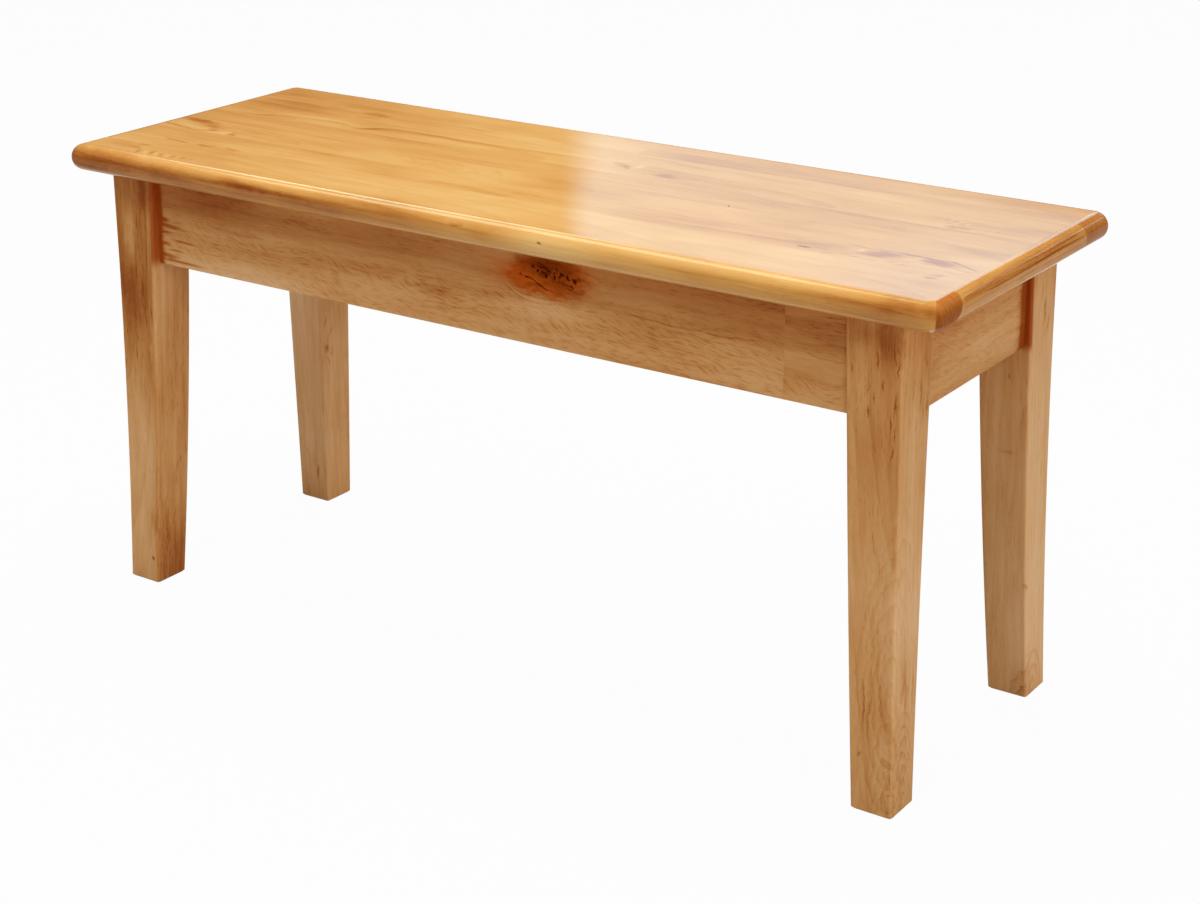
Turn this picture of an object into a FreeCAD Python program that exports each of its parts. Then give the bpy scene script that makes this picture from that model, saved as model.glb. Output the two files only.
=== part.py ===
import FreeCAD, Part
import math
import os

# Dining bench of solid wood, in millimetres. Length along X, depth along Y, Z up.
# The origin is on the floor under the middle of the seat; the front is towards -Y.

# Seat
seat_length = 942.0
seat_depth = 335.0
seat_height = 457.0
seat_thickness = 25.0
flat_corner_radius = 2.5
front_stave_width = 47.0
rear_stave_width = 58.0
core_stave_2_width = 43.0
core_stave_3_width = 43.0
core_stave_4_width = 38.0
core_stave_5_width = 31.0
lipping_flat = 1.0
tongue_length = 7.0
tongue_thickness = 7.0
groove_clearance = 0.1
groove_end_clearance = 0.8
rear_joint_from_centre = 17.0
seat_finger_length = 10.0
seat_finger_count = 4

# Legs
leg_top_size = 52.0
leg_foot_size = 39.0
leg_end_setback = 39.5
leg_side_setback = 23.0
leg_splay_x = 19.5
leg_splay_y = 14.5
leg_sweep = 2.0
leg_edge_radius = 2.2
foot_easing = 1.6

# Aprons
apron_height = 88.0
apron_thickness = 20.0
side_reveal = 8.5
end_reveal = 4.8
apron_edge_radius = 1.0
apron_joint_from_leg = 54.0
apron_finger_length = 10.0
apron_finger_count = 4
tenon_length = 20.0
tenon_thickness = 9.0
tenon_lower_shoulder = 12.0
tenon_upper_shoulder = 14.0
mortise_clearance = 0.1
mortise_end_clearance = 2.0

# Corner braces and middle batten
brace_thickness = 22.0
brace_height = 50.0
brace_leg_gap = 3.0
batten_width = 45.0
batten_thickness = 22.0
batten_housing = 6.0
housing_clearance = 0.1
batten_end_clearance = 0.2

# Screws
brace_screw_diameter = 4.0
brace_screw_bite = 12.0
brace_screw_head_diameter = 8.0
brace_screw_grip = 10.0
brace_screw_edge = 13.0
seat_screw_diameter = 4.5
seat_screw_bite = 15.0
seat_screw_head_diameter = 9.0
screw_head_height = 3.0
screw_tip_length = 4.0
recess_length = 4.4
recess_width = 1.0
recess_depth = 1.5
hole_clearance = 0.05
pocket_clearance = 0.6
batten_screw_from_end = 40.0
batten_screw_count = 3

# Places that follow from the sizes
half_length = seat_length / 2
half_depth = seat_depth / 2
frame_top = seat_height - seat_thickness
apron_bottom = frame_top - apron_height
edge_radius = seat_thickness / 2
corner_radius = edge_radius + flat_corner_radius
lipping_depth = edge_radius + lipping_flat
leg_outer_x = half_length - leg_end_setback
leg_outer_y = half_depth - leg_side_setback
leg_inner_x = leg_outer_x - leg_top_size
leg_inner_y = leg_outer_y - leg_top_size
apron_face_x = leg_outer_x - end_reveal
apron_face_y = leg_outer_y - side_reveal
apron_back_x = apron_face_x - apron_thickness
apron_back_y = apron_face_y - apron_thickness
core_end = half_length - lipping_depth
core_front = front_stave_width - half_depth
core_rear = half_depth - rear_stave_width
brace_near = apron_back_x - leg_inner_x + apron_back_y - leg_inner_y + brace_leg_gap * math.sqrt(2)
brace_far = brace_near + brace_thickness * math.sqrt(2)
brace_bottom = frame_top - brace_height
seat_screw_seat = frame_top - batten_thickness
quarters = {
    "front_left": (-1, -1),
    "front_right": (1, -1),
    "rear_left": (-1, 1),
    "rear_right": (1, 1),
}

V = FreeCAD.Vector
UP = V(0, 0, 1)
touch = 0.001


def block(x0, x1, y0, y1, z0, z1):
    """Box between two corners, given in either order."""
    low = V(min(x0, x1), min(y0, y1), min(z0, z1))
    return Part.makeBox(abs(x1 - x0), abs(y1 - y0), abs(z1 - z0), low)


def prism(points, run):
    """Solid of a closed outline of points carried along one vector."""
    outline = Part.makePolygon(points + points[:1])
    return Part.Face(outline).extrude(run)


def save(name, shape):
    """Writes one piece and stops if it is not sound."""
    if not shape.isValid():
        raise ValueError(name + " is not a valid solid")
    shape.exportStep("parts/" + name + ".step")


def edge_profile(reach):
    """Upright face from the axis out to the half-round edge, in the XZ plane."""
    flat = reach - edge_radius
    z_low = frame_top
    z_mid = frame_top + edge_radius
    z_top = seat_height
    round_edge = Part.Arc(V(flat, 0, z_low), V(reach, 0, z_mid), V(flat, 0, z_top)).toShape()
    over = Part.makeLine(V(flat, 0, z_top), V(0, 0, z_top))
    inside = Part.makeLine(V(0, 0, z_top), V(0, 0, z_low))
    under = Part.makeLine(V(0, 0, z_low), V(flat, 0, z_low))
    return Part.Face(Part.Wire([round_edge, over, inside, under]))


def seat_board():
    """Whole seat outline: flat middle, half-round edges and corners rounded in plan."""
    cx = half_length - corner_radius
    cy = half_depth - corner_radius
    board = block(-cx, cx, -cy, cy, frame_top, seat_height)
    corners = (
        (0, V(cx, cy, 0), V(0, -2 * cy, 0)),
        (90, V(-cx, cy, 0), V(2 * cx, 0, 0)),
        (180, V(-cx, -cy, 0), V(0, 2 * cy, 0)),
        (270, V(cx, -cy, 0), V(-2 * cx, 0, 0)),
    )
    rims = []
    for turn, corner, run in corners:
        face = edge_profile(corner_radius)
        face.rotate(V(0, 0, 0), UP, turn)
        face.translate(corner)
        rims.append(face.revolve(corner, UP, 90))
        rims.append(face.extrude(run))
    return board.multiFuse(rims).removeSplitter()


def zigzag(start, end, length, count):
    """Finger-joint line across a board: points (across, along) with a given number of fingers."""
    step = (end - start) / (2 * count)
    return [(start + i * step, length / 2 if i % 2 else -length / 2) for i in range(2 * count + 1)]


def rear_stave_half(left):
    """Region of one length of the rear stave, ending in fingers through the thickness."""
    line = zigzag(frame_top, seat_height, seat_finger_length, seat_finger_count)
    y0 = core_rear
    points = [V(rear_joint_from_centre + along, y0, z) for z, along in line]
    far = -half_length if left else half_length
    points += [V(far, y0, seat_height), V(far, y0, frame_top)]
    return prism(points, V(0, rear_stave_width, 0))


def seat_screw_places():
    """Places under the seat where a screw rises through a brace or the batten."""
    mid = (brace_near + brace_far) / 4
    places = [(sx * (apron_back_x - mid), sy * (apron_back_y - mid)) for sx, sy in quarters.values()]
    reach = apron_back_y - batten_screw_from_end
    pitch = 2 * reach / (batten_screw_count - 1)
    return places + [(0.0, -reach + i * pitch) for i in range(batten_screw_count)]


def screw_hole(x, y, z_low, z_high, diameter):
    """Upright cylinder for a hole or a pocket."""
    return Part.makeCylinder(diameter / 2, z_high - z_low, V(x, y, z_low))


def seat_pieces():
    """The glued-up seat: front, rear and core staves, and the end lippings."""
    board = seat_board()
    holes = []
    for x, y in seat_screw_places():
        top = frame_top + seat_screw_bite + hole_clearance
        holes.append(screw_hole(x, y, frame_top, top, seat_screw_diameter + 2 * hole_clearance))
    pieces = {}
    front = block(-half_length, half_length, -half_depth, core_front, frame_top, seat_height)
    pieces["seat_front_stave"] = board.common(front)
    pieces["seat_rear_stave_left"] = board.common(rear_stave_half(True))
    pieces["seat_rear_stave_right"] = board.common(rear_stave_half(False))
    middle = frame_top + seat_thickness / 2
    groove_half = tongue_thickness / 2 + groove_clearance
    groove_end = core_end - tongue_length - groove_end_clearance
    grooves = []
    for side in (-1, 1):
        grooves.append(block(side * groove_end, side * core_end, core_front, core_rear,
                             middle - groove_half, middle + groove_half))
    seams = [core_front]
    for width in (core_stave_5_width, core_stave_4_width, core_stave_3_width, core_stave_2_width):
        seams.append(seams[-1] + width)
    seams.append(core_rear)
    for i in range(len(seams) - 1):
        stave = block(-core_end, core_end, seams[i], seams[i + 1], frame_top, seat_height)
        pieces["seat_core_stave_" + str(len(seams) - 1 - i)] = stave.cut(grooves)
    for name, side in (("left", -1), ("right", 1)):
        strip = block(side * core_end, side * half_length, core_front, core_rear, frame_top, seat_height)
        tongue = block(side * (core_end - tongue_length), side * core_end, core_front, core_rear,
                       middle - tongue_thickness / 2, middle + tongue_thickness / 2)
        pieces["seat_end_lipping_" + name] = board.common(strip).fuse(tongue).removeSplitter()
    return {name: shape.cut(holes) for name, shape in pieces.items()}


def leg_place(z):
    """Middle and half width of the +X +Y quarter's leg at one height."""
    drop = (frame_top - z) / frame_top
    half = (leg_top_size + (leg_foot_size - leg_top_size) * drop) / 2
    bow = 4 * leg_sweep * drop * (1 - drop)
    x = (leg_outer_x + leg_inner_x) / 2 + leg_splay_x * drop - bow
    y = (leg_outer_y + leg_inner_y) / 2 + leg_splay_y * drop - bow
    return x, y, half


def leg_section(z, inset=0.0):
    """Rounded square outline of the +X +Y quarter's leg at one height."""
    x, y, half = leg_place(z)
    half -= inset
    straight = half - leg_edge_radius
    middle = straight + leg_edge_radius * math.sqrt(0.5)
    edges = []
    for c, s in ((1, 0), (0, 1), (-1, 0), (0, -1)):
        local = ((half, -straight), (half, straight), (middle, middle), (straight, half))
        side = [V(x + c * a - s * b, y + s * a + c * b, z) for a, b in local]
        edges.append(Part.makeLine(side[0], side[1]))
        edges.append(Part.Arc(side[1], side[2], side[3]).toShape())
    return Part.Wire(edges)


def leg_blank():
    """Leg of the +X +Y quarter: tapered top between the aprons, swept shaft and eased foot."""
    z_low = apron_bottom
    top = Part.makeLoft([leg_section(frame_top), leg_section(z_low)], True, True)
    steps = [z_low, z_low * 2 / 3, z_low / 3, foot_easing]
    shaft = Part.makeLoft([leg_section(z) for z in steps], True, False)
    foot = Part.makeLoft([leg_section(foot_easing), leg_section(0.0, foot_easing)], True, True)
    return top.multiFuse([shaft, foot])


def placed(shape, sx, sy):
    """Copy of a shape built in the +X +Y quarter, mirrored to another quarter."""
    if sx < 0:
        shape = shape.mirror(V(0, 0, 0), V(1, 0, 0))
    if sy < 0:
        shape = shape.mirror(V(0, 0, 0), V(0, 1, 0))
    return shape


def tenon(along_x, grow, end_grow):
    """Tenon of the +X +Y quarter, or its mortise when grown by the clearances."""
    z0 = apron_bottom + tenon_lower_shoulder - grow
    z1 = frame_top - tenon_upper_shoulder + grow
    half = tenon_thickness / 2 + grow
    if along_x:
        mid = apron_face_y - apron_thickness / 2
        return block(leg_inner_x - tenon_length / 2, leg_inner_x + tenon_length + end_grow,
                     mid - half, mid + half, z0, z1)
    mid = apron_face_x - apron_thickness / 2
    return block(mid - half, mid + half, leg_inner_y - tenon_length / 2,
                 leg_inner_y + tenon_length + end_grow, z0, z1)


def mortised_leg():
    """Leg of the +X +Y quarter with the mortises for its two aprons."""
    mortises = [tenon(way, mortise_clearance, mortise_end_clearance) for way in (True, False)]
    return leg_blank().cut(mortises)


def apron_board(along_x):
    """Rear or right apron: ends sloped to the legs, lower long edges rounded, a tenon at each end."""
    corners = []
    for z, ends in ((apron_bottom, (-1, 1)), (frame_top, (1, -1))):
        x, y, half = leg_place(z)
        for end in ends:
            if along_x:
                corners.append(V(end * (x - half), apron_back_y, z))
            else:
                corners.append(V(apron_back_x, end * (y - half), z))
    board = prism(corners, V(0, apron_thickness, 0) if along_x else V(apron_thickness, 0, 0))
    long_edge = (corners[1] - corners[0]).Length
    low = []
    for edge in board.Edges:
        if edge.CenterOfMass.z - apron_bottom < touch and abs(edge.Length - long_edge) < touch:
            low.append(edge)
    board = board.makeFillet(apron_edge_radius, low)
    peg = tenon(along_x, 0, 0)
    other = placed(peg, -1, 1) if along_x else placed(peg, 1, -1)
    return board.multiFuse([peg, other]).removeSplitter()


def brace_screw_lines():
    """Start and direction of each brace screw in the +X +Y quarter, at the seat of its head."""
    place = (brace_near + brace_far) / 2
    lines = []
    for z in (brace_bottom + brace_screw_edge, frame_top - brace_screw_edge):
        lines.append((V(apron_back_x - place, apron_back_y - brace_screw_grip, z), V(0, 1, 0)))
        lines.append((V(apron_back_x - brace_screw_grip, apron_back_y - place, z), V(1, 0, 0)))
    return lines


def brace_screw_holes():
    """Holes of the brace screws in the +X +Y quarter, through the brace and into the aprons."""
    holes = []
    for start, way in brace_screw_lines():
        length = brace_screw_grip + brace_screw_bite + hole_clearance
        holes.append(Part.makeCylinder(brace_screw_diameter / 2 + hole_clearance, length, start, way))
    return holes


def brace():
    """Mitred brace of the +X +Y quarter, with its screw holes and pockets."""
    corners = ((brace_near, 0), (brace_far, 0), (0, brace_far), (0, brace_near))
    points = [V(apron_back_x - u, apron_back_y - v, brace_bottom) for u, v in corners]
    shape = prism(points, V(0, 0, brace_height))
    cuts = brace_screw_holes()
    for start, way in brace_screw_lines():
        radius = brace_screw_head_diameter / 2 + pocket_clearance
        cuts.append(Part.makeCylinder(radius, brace_far, start, way * -1))
    mid = (brace_near + brace_far) / 4
    x = apron_back_x - mid
    y = apron_back_y - mid
    cuts.append(screw_hole(x, y, brace_bottom, frame_top, seat_screw_diameter + 2 * hole_clearance))
    wide = seat_screw_head_diameter + 2 * pocket_clearance
    cuts.append(screw_hole(x, y, brace_bottom, seat_screw_seat, wide))
    return shape.cut(cuts)


def batten():
    """Middle batten, housed in the front and rear aprons and drilled for its screws."""
    reach = apron_back_y + batten_housing - batten_end_clearance
    half = batten_width / 2
    shape = block(-half, half, -reach, reach, seat_screw_seat, frame_top)
    holes = []
    for x, y in seat_screw_places()[len(quarters):]:
        holes.append(screw_hole(x, y, seat_screw_seat, frame_top, seat_screw_diameter + 2 * hole_clearance))
    return shape.cut(holes)


def screw(start, way, length, diameter, head_diameter):
    """Pan-head screw: head behind its seat, plain shank, pointed tip and a cross recess."""
    shank = Part.makeCylinder(diameter / 2, length - screw_tip_length, start, way)
    tip = Part.makeCone(diameter / 2, 0, screw_tip_length, start + way * (length - screw_tip_length), way)
    head = Part.makeCylinder(head_diameter / 2, screw_head_height, start, way * -1)
    rim = [e for e in head.Edges if len(e.Vertexes) == 1]
    outer = max(rim, key=lambda e: (e.CenterOfMass - start).dot(way * -1))
    head = head.makeFillet(screw_head_height / 2, [outer])
    body = head.multiFuse([shank, tip]).removeSplitter()
    slots = []
    for turn in (0, 90):
        slot = Part.makeBox(recess_length, recess_width, recess_depth,
                            V(-recess_length / 2, -recess_width / 2, 0))
        slot.rotate(V(0, 0, 0), UP, turn)
        slot.Placement = FreeCAD.Placement(start + way * -screw_head_height,
                                           FreeCAD.Rotation(UP, way)).multiply(slot.Placement)
        slots.append(slot)
    return body.cut(slots)


def frame_pieces():
    """Legs, aprons, braces and batten, each tied to the seat and to its neighbours."""
    leg = mortised_leg()
    pieces = {}
    for name, (sx, sy) in quarters.items():
        pieces["leg_" + name] = placed(leg, sx, sy)
        pieces["corner_brace_" + name] = placed(brace(), sx, sy)
    pilots = [placed(hole, sx, sy) for sx, sy in quarters.values() for hole in brace_screw_holes()]
    half = batten_width / 2 + housing_clearance
    reach = apron_back_y + batten_housing
    housing = block(-half, half, -reach, reach, seat_screw_seat - housing_clearance, frame_top)
    for name, side in (("front", -1), ("rear", 1)):
        pieces["apron_" + name] = placed(apron_board(True), 1, side).cut(pilots + [housing])
    for name, side in (("left", -1), ("right", 1)):
        pieces["apron_" + name] = placed(apron_board(False), side, 1).cut(pilots)
    pieces["cross_batten"] = batten()
    return pieces


def split_front_apron(board):
    """Parts the front apron in two lengths with fingers through its thickness."""
    joint = leg_inner_x - apron_joint_from_leg
    line = zigzag(-apron_face_y, -apron_back_y, apron_finger_length, apron_finger_count)
    points = [V(joint + along, y, apron_bottom) for y, along in line]
    far = [V(half_length, -apron_back_y, apron_bottom), V(half_length, -apron_face_y, apron_bottom)]
    region = prism(points + far, V(0, 0, apron_height))
    return board.cut(region), board.common(region)


def brace_screws():
    """All screws that hold the braces to the aprons."""
    group = []
    length = brace_screw_grip + brace_screw_bite
    for sx, sy in quarters.values():
        for start, way in brace_screw_lines():
            at = V(start.x * sx, start.y * sy, start.z)
            to = V(way.x * sx, way.y * sy, way.z)
            group.append(screw(at, to, length, brace_screw_diameter, brace_screw_head_diameter))
    return Part.makeCompound(group)


def seat_screws():
    """All screws that rise through the braces and the batten into the seat."""
    length = batten_thickness + seat_screw_bite
    group = []
    for x, y in seat_screw_places():
        start = V(x, y, seat_screw_seat)
        group.append(screw(start, UP, length, seat_screw_diameter, seat_screw_head_diameter))
    return Part.makeCompound(group)


os.makedirs("parts", exist_ok=True)
bench = seat_pieces()
bench.update(frame_pieces())
long_part, short_part = split_front_apron(bench.pop("apron_front"))
bench["apron_front_long"] = long_part
bench["apron_front_short"] = short_part
bench["brace_screws"] = brace_screws()
bench["seat_screws"] = seat_screws()
for node, solid in bench.items():
    save(node, solid)
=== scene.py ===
import math

import bpy
import numpy as np
from mathutils import Matrix, Vector


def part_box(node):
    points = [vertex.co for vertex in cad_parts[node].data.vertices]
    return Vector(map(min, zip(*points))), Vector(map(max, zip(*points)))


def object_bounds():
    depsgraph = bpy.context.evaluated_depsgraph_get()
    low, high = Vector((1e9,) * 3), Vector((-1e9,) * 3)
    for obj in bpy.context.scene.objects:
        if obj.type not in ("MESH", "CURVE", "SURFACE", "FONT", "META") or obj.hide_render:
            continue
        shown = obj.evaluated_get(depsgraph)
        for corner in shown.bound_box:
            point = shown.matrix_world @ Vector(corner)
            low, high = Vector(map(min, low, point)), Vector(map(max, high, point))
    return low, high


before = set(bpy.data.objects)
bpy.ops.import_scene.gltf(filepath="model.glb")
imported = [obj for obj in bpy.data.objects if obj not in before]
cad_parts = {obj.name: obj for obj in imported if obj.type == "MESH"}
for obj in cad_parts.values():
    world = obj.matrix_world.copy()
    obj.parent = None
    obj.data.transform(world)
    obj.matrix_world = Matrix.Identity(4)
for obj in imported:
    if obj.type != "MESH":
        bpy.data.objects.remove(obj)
cad_low, cad_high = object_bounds()

# Camera, solved from the bench's own edges, in metres and degrees
PHOTO_WIDTH = 1200
PHOTO_HEIGHT = 904
CAMERA_PLACE = Vector((1.18119, -1.64208, 0.97083))
CAMERA_TURN = math.radians(34.83)
CAMERA_DIP = math.radians(21.30)
CAMERA_ROLL = math.radians(-0.32)
FOCAL_PIXELS = 2256.7
AXIS_PIXEL = (594.36, 454.27)
SENSOR_WIDTH = 36.0

# Places on the bench that the finishes follow, in metres, with the seat's top and the apron's face in mm
MM = 0.001
FLOOR_Z = cad_low.z
FLOOR_HALF = 12.0
SEAT_HALF_LENGTH = cad_high.x
SEAT_HALF_DEPTH = cad_high.y
EDGE_RADIUS = (cad_high.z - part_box("apron_rear")[1].z) / 2
CORNER_RADIUS = EDGE_RADIUS + 2.5 * MM
EDGE_MIDDLE = cad_high.z - EDGE_RADIUS
SEAT_TOP = 457
APRON_FACE = -136
APRON_LOW = 0.346
APRON_HIGH = 0.430
LEG_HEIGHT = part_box("apron_rear")[1].z
LEG_FOOT_X = 0.425
LEG_FOOT_Y = 0.133
LEG_LEAN_X = 19.5 / 432.0
LEG_LEAN_Y = 14.5 / 432.0

# Tones of the wood under clear lacquer, linear, from pale to dark, with their places on a scale from 0 to 1
SEAT_TONES = (
    (0.00, (0.95, 0.580, 0.205)),
    (0.25, (0.88, 0.475, 0.140)),
    (0.50, (0.78, 0.375, 0.090)),
    (0.70, (0.63, 0.260, 0.055)),
    (0.85, (0.48, 0.160, 0.029)),
    (1.00, (0.32, 0.086, 0.013)),
)
FRAME_TONES = (
    (0.00, (0.95, 0.600, 0.320)),
    (0.25, (0.87, 0.498, 0.222)),
    (0.50, (0.75, 0.370, 0.128)),
    (0.70, (0.62, 0.254, 0.067)),
    (0.85, (0.48, 0.156, 0.031)),
    (1.00, (0.33, 0.077, 0.010)),
)
BARE_TONES = (
    (0.00, (0.72, 0.510, 0.300)),
    (0.50, (0.60, 0.390, 0.205)),
    (1.00, (0.44, 0.250, 0.110)),
)
FRAME_COAT = 0.12
FRAME_COAT_ROUGHNESS = 0.16
RED_STAIN = (0.44, 0.075, 0.008)
RUST_KNOT = (0.62, 0.116, 0.010)
KNOT_CORE = (0.090, 0.008, 0.001)
END_GRAIN = (0.36, 0.082, 0.010)
END_GRAIN_PALE = (0.57, 0.195, 0.037)


class Wire:
    """One output socket; arithmetic on it adds Math nodes."""

    def __init__(self, finish, socket):
        self.finish = finish
        self.socket = socket

    def __add__(self, other):
        return self.finish.math("ADD", self, other)

    def __radd__(self, other):
        return self.finish.math("ADD", other, self)

    def __sub__(self, other):
        return self.finish.math("SUBTRACT", self, other)

    def __rsub__(self, other):
        return self.finish.math("SUBTRACT", other, self)

    def __mul__(self, other):
        return self.finish.math("MULTIPLY", self, other)

    def __rmul__(self, other):
        return self.finish.math("MULTIPLY", other, self)

    def __truediv__(self, other):
        return self.finish.math("DIVIDE", self, other)

    def __rtruediv__(self, other):
        return self.finish.math("DIVIDE", other, self)

    def __pow__(self, other):
        return self.finish.math("POWER", self, other)

    def __rpow__(self, other):
        return self.finish.math("POWER", other, self)


def draw_curve(mapping, marks):
    """Puts a curve's points in place, from first to last."""
    line = mapping.curves[0]
    line.points[0].location = marks[0]
    line.points[1].location = marks[-1]
    for mark in marks[1:-1]:
        line.points.new(*mark)
    mapping.update()


def set_stops(ramp, stops):
    """Gives a ramp its colours at their places."""
    for k, (place, colour) in enumerate(stops):
        stop = ramp.elements[k] if k < 2 else ramp.elements.new(place)
        stop.position = place
        stop.color = colour + (1.0,)


class Finish:
    """A node tree with one method for any node and short words for the common ones."""

    def __init__(self, tree):
        self.tree = tree
        tree.nodes.clear()

    def node(self, kind, settings=None, sockets=None, out=0):
        """Adds a node, sets its settings, then its sockets' values or links, and returns one output."""
        made = self.tree.nodes.new(kind)
        for name, value in (settings or {}).items():
            if name == "curve":
                draw_curve(made.mapping, value)
            elif name == "stops":
                set_stops(made.color_ramp, value)
            else:
                setattr(made, name, value)
        for name, value in (sockets or {}).items():
            if isinstance(value, Wire):
                self.tree.links.new(value.socket, made.inputs[name])
            else:
                made.inputs[name].default_value = value
        return Wire(self, made.outputs[out]) if len(made.outputs) else made

    def math(self, operation, a, b=0.0, c=0.0):
        return self.node("ShaderNodeMath", {"operation": operation}, {0: a, 1: b, 2: c})

    def vector(self, operation, a, b=(0.0, 0.0, 0.0), out=0):
        return self.node("ShaderNodeVectorMath", {"operation": operation}, {0: a, 1: b}, out)

    def scaled(self, vector, factor):
        return self.node("ShaderNodeVectorMath", {"operation": "SCALE"}, {0: vector, "Scale": factor})

    def join(self, x, y, z):
        return self.node("ShaderNodeCombineXYZ", None, {0: x, 1: y, 2: z})

    def split(self, vector):
        parts = self.node("ShaderNodeSeparateXYZ", None, {0: vector})
        return [Wire(self, socket) for socket in parts.socket.node.outputs]

    def mix(self, factor, a, b):
        """Colour that goes from a to b."""
        four = [tuple(v) + (1.0,) if isinstance(v, tuple) else v for v in (a, b)]
        settings = {"data_type": "RGBA", "clamp_factor": True}
        return self.node("ShaderNodeMix", settings, {0: factor, 6: four[0], 7: four[1]}, 2)

    def ease(self, value, low, high, to_low=0.0, to_high=1.0):
        """Smooth step from one level to another as the value goes from low to high."""
        settings = {"interpolation_type": "SMOOTHSTEP", "clamp": True}
        return self.node("ShaderNodeMapRange", settings, {0: value, 1: low, 2: high, 3: to_low, 4: to_high})

    def noise(self, vector, detail=3.0, roughness=0.55, out=0):
        sockets = {"Vector": vector, "Scale": 1.0, "Detail": detail, "Roughness": roughness}
        return self.node("ShaderNodeTexNoise", {"noise_dimensions": "3D"}, sockets, out)


def new_material(name):
    """Empty material with its node tree."""
    material = bpy.data.materials.new(name)
    material.use_nodes = True
    return material


class Wood(Finish):
    """A lacquered board: growth rings round a pith line, long streaks, short pores and the board's own marks.

    Board coordinates are u along the grain, v across it and w through it, in metres. The rings are
    steps in the distance from a pith line that lies outside the board and leans along it, so that they
    come to the face as long arches. Marks add to the darkness or the redness, and knots push the rings aside.
    """

    def __init__(self, name, tones, grain="x", pith=(0.0, 0.0), lean=0.0, ring=0.01, seed=0.0,
                 shear=(0.0, 0.0)):
        self.material = new_material(name)
        super().__init__(self.material.node_tree)
        self.place = self.node("ShaderNodeTexCoord", out="Object")
        x, y, z = self.split(self.place)
        self.xyz = (x, y, z)
        if grain == "x":
            u, v, w = x, y, z
        elif grain == "y":
            u, v, w = y, x, z
        else:
            u, v, w = z, x + (z * shear[0]), y + (z * shear[1])
        self.u, self.v, self.w = u, v, w
        self.tones, self.pith, self.lean, self.ring, self.seed = tones, pith, lean, ring, seed
        shift = self.vector("ADD", self.place, (seed, seed * 0.7, seed * 1.3))
        cloud = self.noise(self.scaled(shift, 70.0), 3.0, 0.6, out=1)
        wander = self.vector("SUBTRACT", cloud, (0.5, 0.5, 0.5))
        self.rough_place = self.vector("ADD", self.place, self.scaled(wander, 12.0 * MM))
        self.ripple = self.split(wander)[1] * (6.0 * MM)
        self.dark = 0.0
        self.red = 0.0
        self.rust = 0.0
        self.core = 0.0
        self.flow = 0.0

    def add(self, spot, **amounts):
        """Adds a spot to the board's darkness, redness, rust, dark cores or ring flow."""
        for name, amount in amounts.items():
            if amount:
                setattr(self, name, self.math("MULTIPLY_ADD", spot, amount, getattr(self, name)))

    def reach(self, centre, radii, turn=(0, 0, 0), wander=True):
        """Distance from a place in mm, as a share of an ellipsoid's radii."""
        sockets = {
            "Vector": self.rough_place if wander else self.place,
            "Location": [c * MM for c in centre],
            "Rotation": [math.radians(t) for t in turn],
            "Scale": [r * MM for r in radii],
        }
        local = self.node("ShaderNodeMapping", {"vector_type": "TEXTURE"}, sockets)
        return self.vector("LENGTH", local, out=1)

    def mask(self, centre, radii, turn=(0, 0, 0), soft=0.0, wander=True):
        """1 inside an ellipsoid about a place in mm, fading to 0 at its edge."""
        return self.ease(self.reach(centre, radii, turn, wander), soft, 1.0, 1.0, 0.0)

    def streak(self, centre, radii, turn=(0, 0, 0), dark=0.0, red=0.0, soft=0.0, wander=True):
        """Darker, lighter or redder stretch of the wood."""
        self.add(self.mask(centre, radii, turn, soft, wander), dark=dark, red=red)

    def mark(self, place, size, turn=0, dark=0.0, red=0.0, soft=0.0, wander=True, deep=20):
        """Streak on the seat's flat, by its place and its radii along and across in mm."""
        self.streak((*place, SEAT_TOP), (*size, deep), (0, 0, turn), dark, red, soft, wander)

    def marks(self, rows, **shared):
        """Streaks on the seat's flat, each row a place, two radii, a turn and a mark's amounts."""
        for row in rows:
            self.mark(row[:2], row[2:4], *row[4:], **shared)

    def spot(self, place, size, tilt=0, soft=0.0, deep=14, wander=True):
        """Mask on the front apron's face, by its place and its radii along and up in mm."""
        x, z = place
        wide, tall = size
        return self.mask((x, APRON_FACE, z), (wide, deep, tall), (0, tilt, 0), soft, wander)

    def knot(self, centre, radii, turn=(0, 0, 0), dark=0.3, red=0.6, core=0.0, flow=0.006):
        """Knot: rings bulge round it, the wood reddens and the heart is dark."""
        self.add(self.mask(centre, [r * 2.2 for r in radii], turn), flow=flow)
        self.add(self.mask(centre, radii, turn, 0.25), dark=dark, red=red)
        if core:
            self.add(self.mask(centre, [r * 0.45 for r in radii], turn, 0.2), core=core)

    def arches(self, centre, radii, turn, rings, dark, red=0.0, edge=0.7):
        """Nested arches: rings of an ellipsoid about a place, each darkening outwards to a sharp edge."""
        reach = self.reach(centre, radii, turn)
        phase = self.math("FRACT", reach * rings)
        self.add((phase ** 2.5) * self.ease(reach, edge, 1.0, 1.0, 0.0), dark=dark, red=red)

    def curve(self, value, points, bottom=0.0, top=1.0):
        """Smooth line through points: the value's place gives a level between bottom and top."""
        first, last = points[0][0], points[-1][0]
        share = self.node("ShaderNodeMapRange", {"clamp": True}, {0: value, 1: first, 2: last})
        spans = (last - first, top - bottom)
        marks = [((place - first) / spans[0], (level - bottom) / spans[1]) for place, level in points]
        drawn = self.node("ShaderNodeFloatCurve", {"curve": marks}, {1: share})
        return drawn * spans[1] + bottom

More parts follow.
